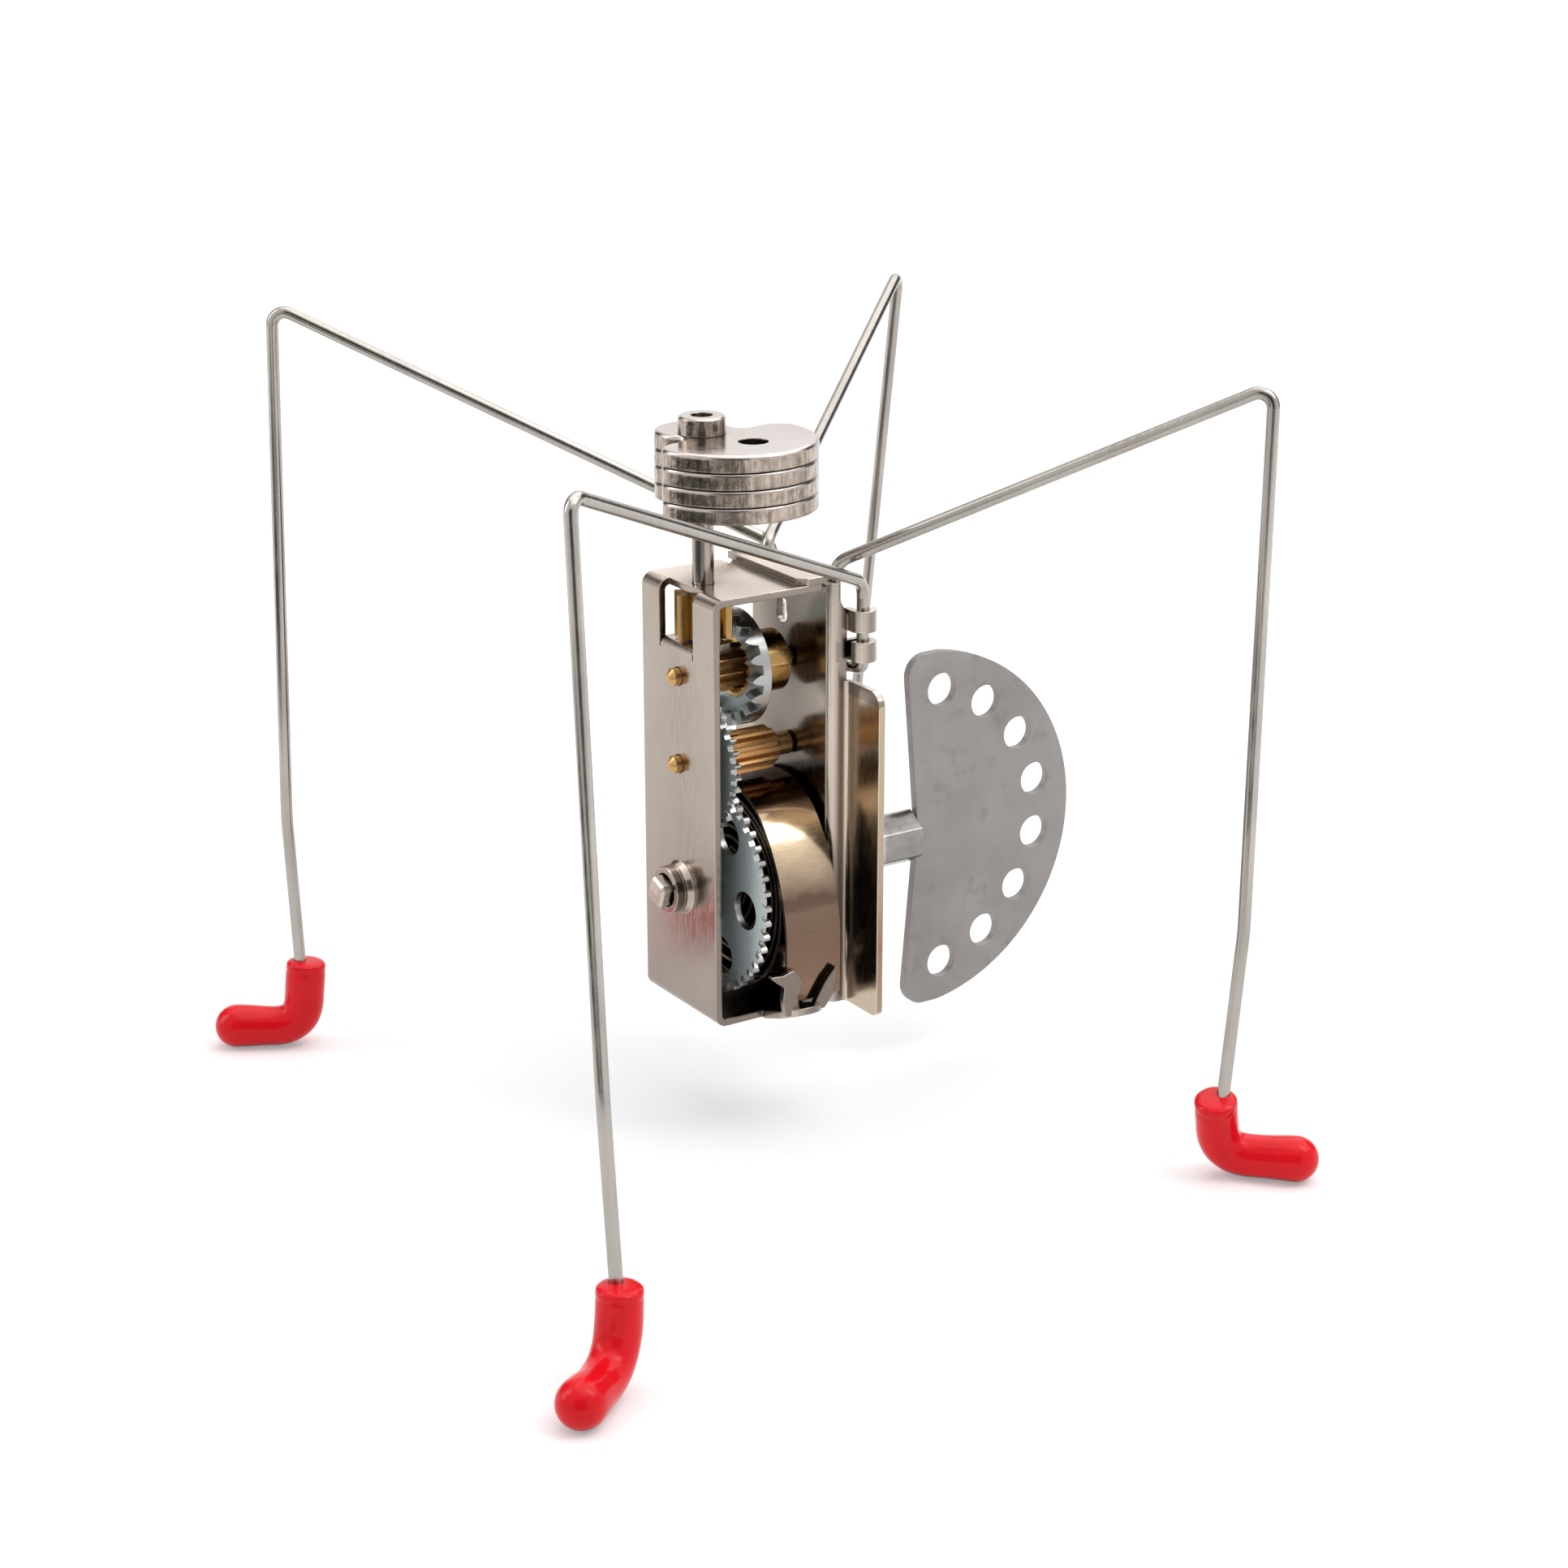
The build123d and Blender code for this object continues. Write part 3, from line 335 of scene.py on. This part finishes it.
def weight_metal():
    """Nickel weights: smooth faces with painted light on top, torn vertical streaks on the
    sheared rims, painted shade in the gaps between the plates.
    """
    look = metal("nickel_steel", ((0.42, 0.36, 0.33), (0.52, 0.465, 0.44)), (0.14, 0.22))
    rim = look.remap(look.facing("Z"), 1.0, 0.0, 0.02, 0.25)
    streaks = look.noise(2200, 4, (1.0, 1.0, 0.16))
    torn = look.maths("ADD", streaks, look.noise(1300, 5, (1.0, 1.0, 0.8)))
    sheared = look.colours(streaks, ((0.3, (0.40, 0.33, 0.27)), (0.7, (0.50, 0.42, 0.36))))
    loss = look.maths("SUBTRACT", 1.0, look.remap(torn, 0.5, 0.95, 0.8, 1.15))
    dull = look.maths("SUBTRACT", 1.0, look.times(rim, loss))
    # painted light: faces that look up are made lighter
    top = look.remap(look.normal()["Z"], 1.0, 1.45, 0.8, 1.0)
    # painted shade in the gaps between the plates
    look.set_shader(Base_Color=look.shade(look.mix(rim, look.base(), sheared), top, dull,
                                          look.painted_hollow_shade(0.0012, 0.02)))
    look.bump([(look.times(torn, rim), 0.45, 0.0001)], 0.00022)
    return look.material


def spring_metal():
    """Tempered strip tinted brown lower down and mauve at mid height, with a bright straw band
    near the crown that is a painted highlight and a near black top that is painted shade under
    the pinion.
    """
    look = metal("spring_steel", None, (0.10, 0.15), (0.25, 1.5, 1.5), grain_scale=2500,
                 patch_scale=90, bump=0.004, edge=0.00005)
    wander = look.times(look.noise(160, 3), 0.004)
    height = look.maths("ADD", look.split(look.place)["Z"], wander)
    # colour by height: temper tint lower down, a painted highlight in the bright straw stop and
    # painted shade in the near black top stop
    temper_tint_and_painted_light = look.colours(look.remap(height, 0.0, 1.0, STRIP_BANDS_LOW, STRIP_BANDS_HIGH),
                          ((0.0, (0.28, 0.180, 0.120)), (0.30, (0.185, 0.118, 0.085)),
                           (0.52, (0.145, 0.093, 0.070)), (0.74, (0.85, 0.66, 0.45)),
                           (0.87, (0.26, 0.17, 0.10)), (1.0, (0.04, 0.028, 0.018))))
    drawn = look.remap(look.noise(2500, 3, (0.25, 1.5, 1.5)), 0.94, 1.04)
    # painted shade in the hollows between the turns
    look.set_shader(Base_Color=look.shade(temper_tint_and_painted_light, drawn, look.painted_hollow_shade(0.004, 0.05)))
    return look.material


def key_metal():
    """Dull grey sheet of the key, with worn spots."""
    return metal("key_steel", ((0.26, 0.242, 0.23), (0.32, 0.30, 0.288)), (0.34, 0.46),
                 grain_scale=700, patch_scale=110, bump=0.06,
                 wear=((0.19, 0.18, 0.175), 420, 0.5), metallic=0.9).material


def sleeve_metal():
    """Drawn hexagon tube: painted light on facets that look sideways or up, painted shade on
    facets that look down, and a painted shadow at the joint with the blade.
    """
    look = metal("sleeve_steel", ((0.50, 0.47, 0.44), (0.70, 0.67, 0.64)), (0.14, 0.26),
                 (0.3, 1, 1), grain_scale=1200, patch_scale=300, bump=0.05,
                 wear=((0.36, 0.33, 0.31), 500, 0.6))
    end = max(corner[0] for corner in frame["nodes"]["key_sleeve"].bound_box)
    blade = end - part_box("key_sleeve")[1][0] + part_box("key_plate")[0][0]
    # painted shadow at the joint with the blade
    joint = look.remap(look.split(look.place)["X"], 1.0, 0.35, blade - 0.0010, blade - 0.0001)
    # painted light on facets that look sideways or up, painted shade on those that look down
    facet = look.remap(look.normal()["Z"], 0.30, 1.3, -0.7, -0.2)
    look.set_shader(Base_Color=look.shade(look.base(), look.times(facet, joint)))
    return look.material


def zinc_metal():
    """Blue-passivated wheel faces with bright bare metal on the teeth."""
    look = metal("zinc_blue", ((0.57, 0.66, 0.675), (0.66, 0.745, 0.755)), grain_scale=2000,
                 patch_scale=120, bump=0.02, edge=0.00008)
    flank = look.remap(look.facing("X"), 1.0, 0.0, 0.3, 0.9)
    look.set_shader(Base_Color=look.mix(flank, look.base(), (0.40, 0.405, 0.395)),
                    Metallic=look.remap(flank, 0.5, 1.0, 0.0, 1.0),
                    Roughness=look.remap(flank, 0.4, 0.28, 0.0, 1.0))
    return look.material


def brass_metal():
    """Brass of the upright pinion and the crown's hub, with painted shade between the teeth."""
    return metal("pinion_brass", ((0.35, 0.21, 0.07), (0.47, 0.295, 0.115)), (0.14, 0.24),
                 (2.0, 2.0, 0.3), bump=0.01, edge=0.00008,
                 wear=((0.32, 0.17, 0.055), 500, 0.3), painted_hollow_shade=(0.0012, 0.5)).material


def bronze_metal():
    """Smooth, redder metal of the two geared arbors, with painted shade in its hollows."""
    return metal("pinion_bronze", ((0.57, 0.325, 0.13), (0.60, 0.345, 0.14)), (0.26, 0.28),
                 bump=0.0, edge=0.00008, painted_hollow_shade=(0.0006, 0.65), metallic=0.85).material


def arbor_metal():
    """Steel of the winding arbor, with its grain drawn out along it and painted shade in its
    hollows.
    """
    return metal("arbor_steel", ((0.40, 0.37, 0.32), (0.58, 0.54, 0.48)), (0.22, 0.34),
                 (0.3, 2.0, 2.0), bump=0.05, painted_hollow_shade=(0.001, 0.3)).material


def ratchet_metal():
    """Dark steel of the ratchet and its click."""
    return metal("ratchet_steel", ((0.15, 0.145, 0.14), (0.24, 0.23, 0.22)), (0.28, 0.4),
                 bump=0.02).material


def vinyl():
    """Glossy dipped vinyl: deep red, softly uneven, with painted shade in its hollows."""
    look = Surface("boot_vinyl")
    broad = look.noise(260, 3)
    fine = look.noise(1800, 3)
    colour = look.colours(broad, ((0.3, (0.76, 0.005, 0.012)), (0.7, (0.88, 0.008, 0.017))))
    look.set_shader(Base_Color=look.shade(colour, look.painted_hollow_shade(0.0012, 0.45)),
                    Roughness=look.remap(fine, 0.10, 0.16), Specular_IOR_Level=0.2)
    look.bump([(broad, 0.2, 0.0002), (fine, 0.03, 0.00003)], 0.0003)
    return look.material


# the material of every slot, and the nodes that have a finish of their own
MAKERS = {"frame_steel": frame_metal, "wire_steel": wire_metal, "nickel_steel": weight_metal,
          "spring_steel": spring_metal, "key_steel": key_metal, "arbor_steel": arbor_metal,
          "ratchet_steel": ratchet_metal, "zinc_blue": zinc_metal, "pinion_brass": brass_metal,
          "pinion_bronze": bronze_metal, "boot_vinyl": vinyl}
OWN_FINISH = {"key_sleeve": sleeve_metal, "rotor_shaft": shaft_metal,
              "second_pinion": bronze_metal}


def dress_nodes():
    """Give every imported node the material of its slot, or its own variant of it."""
    made = {name: maker() for name, maker in MAKERS.items()}
    for part in frame["record"]["subparts"]:
        name = part["node"]
        node = frame["nodes"][name]
        finish = OWN_FINISH[name]() if name in OWN_FINISH else made[part["material_slot"]]
        if not node.material_slots:
            node.data.materials.append(None)
        for slot in node.material_slots:
            slot.material = finish


# ------------------------------------------------------------------ new pieces
SHARP_ANGLE = 35           # edges that turn by more than this many degrees stay crisp


def add_skin(mesh, rings):
    """Closed tube through rings of vertices, capped at both ends."""
    for first, second in zip(rings, rings[1:]):
        for here in range(len(first)):
            after = (here + 1) % len(first)
            mesh.faces.new((first[here], first[after], second[after], second[here]))
    mesh.faces.new(rings[0][::-1])
    mesh.faces.new(rings[-1])


def add_piece(name, mesh, node):
    """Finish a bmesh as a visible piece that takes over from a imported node."""
    bmesh.ops.recalc_face_normals(mesh, faces=mesh.faces)
    data = bpy.data.meshes.new(name)
    mesh.to_mesh(data)
    mesh.free()
    data.shade_smooth()
    data.set_sharp_from_angle(angle=math.radians(SHARP_ANGLE))
    piece = add_object(name, data)
    data.materials.append(frame["nodes"][node].material_slots[0].material)
    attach(piece, "chassis")
    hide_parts(node)


# ------------------------------------------------------------------ mainspring
STRIP = 0.3 * MM
COLLAR_OUT = 1.8 * MM      # how far the arbor's collar stands out of the front plate
STRIP_FRONT = 6.0 * MM     # front and back edge of the strip, from the front plate
STRIP_BACK = 12.5 * MM
QUARTER_STEPS = 18
# radius in millimetres of each turn above, left of, below and right of the arbor
TOPS = (3.2, 4.3, 5.5, 6.7, 7.7, 8.4, 9.0, 10.15)
LEFTS = (3.2, 4.4, 5.7, 6.9, 8.0, 8.8, 9.5)
BOTTOMS = (3.5, 5.0, 6.5, 8.0, 9.4, 10.7, 11.9)
RIGHTS = (3.8, 5.3, 6.8, 8.2, 9.4, 10.4, 10.9)
# radius in millimetres, sweep in degrees and steps of the arcs that lead to the outer end
SWING = ((8.2, 52.0, 24), (19.5, 38.0, 24), (200.0, 1.6, 4))


def coil_radii():
    """Radius at every quarter turn, from the first top to the last one."""
    radii = []
    for top, left, bottom, right in zip(TOPS, LEFTS, BOTTOMS, RIGHTS):
        radii += [top, left, bottom, right]
    return radii + [TOPS[-1]]


def smooth_between(values, index, share):
    """Catmull-Rom value between values[index] and values[index + 1]."""
    before = values[max(index - 1, 0)]
    first, second = values[index], values[index + 1]
    after = values[index + 2] if index + 2 < len(values) else first
    level = 2 * first
    slope = second - before
    square = 2 * before - 5 * first + 4 * second - after
    cube = 3 * first - before - 3 * second + after
    return 0.5 * (level + slope * share + square * share ** 2 + cube * share ** 3)


def on_arc(centre, radius, angle):
    """Point of a circle in the (y, z) plane, the angle in degrees."""
    turn = math.radians(angle)
    return centre[0] + radius * math.cos(turn), centre[1] + radius * math.sin(turn)


def spring_line():
    """Centre line of the coiled strip as (y, z) in millimetres round the arbor."""
    radii = coil_radii()
    points = []
    for index in range(len(radii) - 1):
        for step in range(QUARTER_STEPS):
            share = step / QUARTER_STEPS
            radius = smooth_between(radii, index, share)
            points.append(on_arc((0.0, 0.0), radius, 90 + 90 * (index + share)))
    end, angle = (0.0, radii[-1]), 90.0
    for radius, sweep, steps in SWING:
        centre = on_arc(end, -radius, angle)
        points += [on_arc(centre, radius, angle + sweep * step / steps) for step in range(steps)]
        angle += sweep
        end = on_arc(centre, radius, angle)
    return points + [end]


def add_mainspring():
    """Tempered strip in seven full turns that fill the lower frame."""
    low, high = (Vector(corner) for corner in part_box("winding_arbor"))
    middle = (low + high) / 2
    face = FRAME_LOW.x + COLLAR_OUT
    line = spring_line()
    mesh = bmesh.new()
    rings = []
    for index, (y, z) in enumerate(line):
        ahead = line[min(index + 1, len(line) - 1)]
        behind = line[max(index - 1, 0)]
        way = Vector((ahead[0] - behind[0], ahead[1] - behind[1])).normalized()
        ring = []
        for edge, side in ((STRIP_FRONT, 0.5), (STRIP_BACK, 0.5),
                           (STRIP_BACK, -0.5), (STRIP_FRONT, -0.5)):
            ring.append(mesh.verts.new((face + edge,
                                        middle.y + y * MM - way.y * side * STRIP,
                                        middle.z + z * MM + way.x * side * STRIP)))
        rings.append(ring)
    add_skin(mesh, rings)
    add_piece("mainspring_coil", mesh, "mainspring")


# ------------------------------------------------------------------ boots
# The sizes of the boots are in millimetres.
BOOT_R = 2.15
TOE_R = 2.35
SOLE_FLAT = 0.08
# depth below the rim and radius, over the rolled rim and down to the plain tube
RIM_PROFILE = ((0.0, 0.4), (0.0, 1.0), (0.02, 1.5), (0.12, 1.88), (0.35, 2.11),
               (0.7, 2.16), (0.95, 2.15), (1.1, 2.09), (1.25, 2.13), (1.5, BOOT_R))
# rim, heel and toe from the low corner of the node's box, and how far the bend reaches
BOOTS = {
    "boot_front": {"rim": (8.95, 7.0, 9.65), "heel": (8.5, 6.75), "toe": (2.35, 2.35),
                   "reach": 4.6},
    "boot_left": {"rim": (9.45, 2.185, 9.65), "heel": (8.65, 2.135), "toe": (2.35, 5.635),
                  "reach": 3.2},
    "boot_right": {"rim": (1.996, 6.75, 9.0), "heel": (3.696, 7.8), "toe": (9.046, 2.35),
                   "reach": 3.4},
    "boot_back": {"rim": (2.022, 2.789, 9.2), "heel": (3.522, 1.889), "toe": (8.722, 7.289),
                  "reach": 3.4},
}
SIDES = 48
TUBE_STEPS = 8
BEND_STEPS = 24
TOE_STEPS = 8
TIP_STEPS = 12
WAVE_HEIGHT = 0.05         # unevenness of the dipped skin
WAVE_SCALE = 0.35


def boot_rings(rim, heel, toe, reach):
    """Centre, direction and radius of every ring from the rim to the tip of the toe."""
    down, out = (heel - rim).normalized(), (toe - heel).normalized()
    first, last = heel - down * reach, heel + out * reach
    rings = [(rim + down * depth, down, radius) for depth, radius in RIM_PROFILE]
    top = rings[-1][0]
    for step in range(1, TUBE_STEPS):
        rings.append((top.lerp(first, step / TUBE_STEPS), down, BOOT_R))
    for step in range(BEND_STEPS + 1):
        share = step / BEND_STEPS
        left = 1 - share
        centre = first * left ** 2 + heel * (2 * share * left) + last * share ** 2
        rings.append((centre, (down * left + out * share).normalized(), BOOT_R))
    for step in range(1, TOE_STEPS + 1):
        share = step / TOE_STEPS
        swell = share * share * (3 - 2 * share)
        rings.append((last.lerp(toe, share), out, BOOT_R + (TOE_R - BOOT_R) * swell))
    for step in range(1, TIP_STEPS):
        turn = math.radians(90 * step / TIP_STEPS)
        rings.append((toe + out * (TOE_R * math.sin(turn)), out, TOE_R * math.cos(turn)))
    return rings


def add_boot(node):
    """Dipped boot: one smooth tube with a rolled rim, a bent heel and a fuller toe."""
    low, high = (Vector(corner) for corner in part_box(node))
    plan = BOOTS[node]
    rim = Vector(plan["rim"])
    heel = Vector((*plan["heel"], BOOT_R - SOLE_FLAT))
    toe = Vector((*plan["toe"], TOE_R - SOLE_FLAT))
    side = (rim - heel).cross(toe - heel).normalized()
    wave_start = low * 1000    # gives each boot waves of its own
    mesh = bmesh.new()
    rings = []
    for centre, way, radius in boot_rings(rim, heel, toe, plan["reach"]):
        across = way.cross(side)
        ring = []
        for corner in range(SIDES):
            turn = math.tau * corner / SIDES
            point = centre + (side * math.cos(turn) + across * math.sin(turn)) * radius
            wave = noise.noise(point * WAVE_SCALE + wave_start) * WAVE_HEIGHT * min(1.0, radius)
            point += (point - centre).normalized() * wave
            place = low + point * MM
            inside = [min(max(place[axis], low[axis]), high[axis]) for axis in range(3)]
            ring.append(mesh.verts.new(inside))
        rings.append(ring)
    add_skin(mesh, rings)
    add_piece(node + "_dipped", mesh, node)


# ------------------------------------------------------------------ studio
LAMP_DISTANCE = 0.9
SOFTBOXES = (               # name, azimuth, elevation, size, watts
    ("softbox_top", 95, 70, (1.4, 1.4), 8.0),
    ("softbox_left", -125, 30, (0.25, 0.7), 1.6),
    ("softbox_right", 42, 54, (0.25, 0.6), 1.4),
)
FLAG_DISTANCE = 1.0
FLAGS = (                   # name, azimuth, elevation, size, shade
    ("flag_camera", -33, 12, (0.9, 1.1), 0.10),
    ("flag_right", 95, 10, (0.5, 0.9), 0.12),
    ("flag_left", -165, 10, (0.5, 0.9), 0.12),
)
CARD_HEIGHT = 0.5 * MM
CARDS = (                   # name, azimuth, distance, size, shade
    ("card_left", -82, 0.385, (0.34, 0.42), 0.08),
    ("card_front", -33, 0.42, (0.16, 0.42), 0.25),
)


def bare_tree(owner):
    """Emptied node tree of a material or world."""
    owner.use_nodes = True
    owner.node_tree.nodes.clear()
    return Tree(owner.node_tree)


def add_plane(name, size, height=0.0):
    """Square sheet with a material of its own, whose emptied node tree comes with it."""
    bpy.ops.mesh.primitive_plane_add(size=size, location=(0, 0, height))
    plane = bpy.context.object
    plane.name = name
    material = bpy.data.materials.new(name)
    plane.data.materials.append(material)
    return plane, bare_tree(material)


def add_floor():
    """Pale paper sweep: keeps the soft shadow near the toy and turns white further out."""
    floor, tree = add_plane("studio_floor", 6.0, -0.02 * MM)
    paper = tree.add("ShaderNodeBsdfDiffuse", Color=(0.80, 0.80, 0.80, 1))
    far = tree.add("ShaderNodeVectorMath", "LENGTH")
    tree.put(far.inputs[0], tree.add("ShaderNodeTexCoord").outputs["Object"])
    glow = tree.add("ShaderNodeEmission", Color=(1, 1, 1, 1),
                    Strength=tree.remap(far.outputs["Value"], 0.27, 0.66, 0.05, 0.6))
    both = tree.add("ShaderNodeAddShader")
    tree.put(both.inputs[0], paper.outputs[0])
    tree.put(both.inputs[1], glow.outputs[0])
    seen = tree.choose(tree.seen_directly(), paper, both)
    tree.add("ShaderNodeOutputMaterial", Surface=seen.outputs[0])


def add_world():
    """Soft even light with a white backdrop."""
    world = bpy.data.worlds.new("studio")
    bpy.context.scene.world = world
    tree = bare_tree(world)
    soft = tree.add("ShaderNodeBackground", Color=(0.98, 0.99, 1.0, 1), Strength=0.45)
    white = tree.add("ShaderNodeBackground", Color=(1, 1, 1, 1), Strength=1.0)
    seen = tree.choose(tree.seen_directly(), soft, white)
    tree.add("ShaderNodeOutputWorld", Surface=seen.outputs[0])


def add_softbox(name, size, power):
    """Rectangular studio lamp."""
    data = bpy.data.lights.new(name, "AREA")
    data.shape = "RECTANGLE"
    data.size, data.size_y = size
    data.energy = power
    return add_object(name, data)


def add_flag(name, size, shade):
    """Dark sheet that only reflections see."""
    flag, tree = add_plane(name, 1.0)
    flag.scale = (*size, 1)
    glow = tree.add("ShaderNodeEmission", Color=(shade, shade, shade, 1))
    tree.add("ShaderNodeOutputMaterial", Surface=glow.outputs[0])
    flag.visible_camera = False
    flag.visible_diffuse = False
    flag.visible_shadow = False
    return flag


def lay_on_floor(card, azimuth, distance):
    """Put a card on the floor, that far from below the aim point."""
    turn = math.radians(azimuth)
    card.location = (AIM.x + math.sin(turn) * distance, AIM.y - math.cos(turn) * distance,
                     CARD_HEIGHT)
    card.rotation_euler = (0, 0, turn)


def add_studio():
    """Room light, paper floor, lamps, and dark flags for the metal to mirror."""
    bpy.context.scene.view_settings.view_transform = "Standard"
    add_world()
    add_floor()
    for name, azimuth, elevation, size, power in SOFTBOXES:
        face_aim(add_softbox(name, size, power), azimuth, elevation, LAMP_DISTANCE)
    for name, azimuth, elevation, size, shade in FLAGS:
        face_aim(add_flag(name, size, shade), azimuth, elevation, FLAG_DISTANCE)
    for name, azimuth, distance, size, shade in CARDS:
        lay_on_floor(add_flag(name, size, shade), azimuth, distance)


add_camera()
dress_nodes()
add_mainspring()
for boot in BOOTS:
    add_boot(boot)
add_studio()
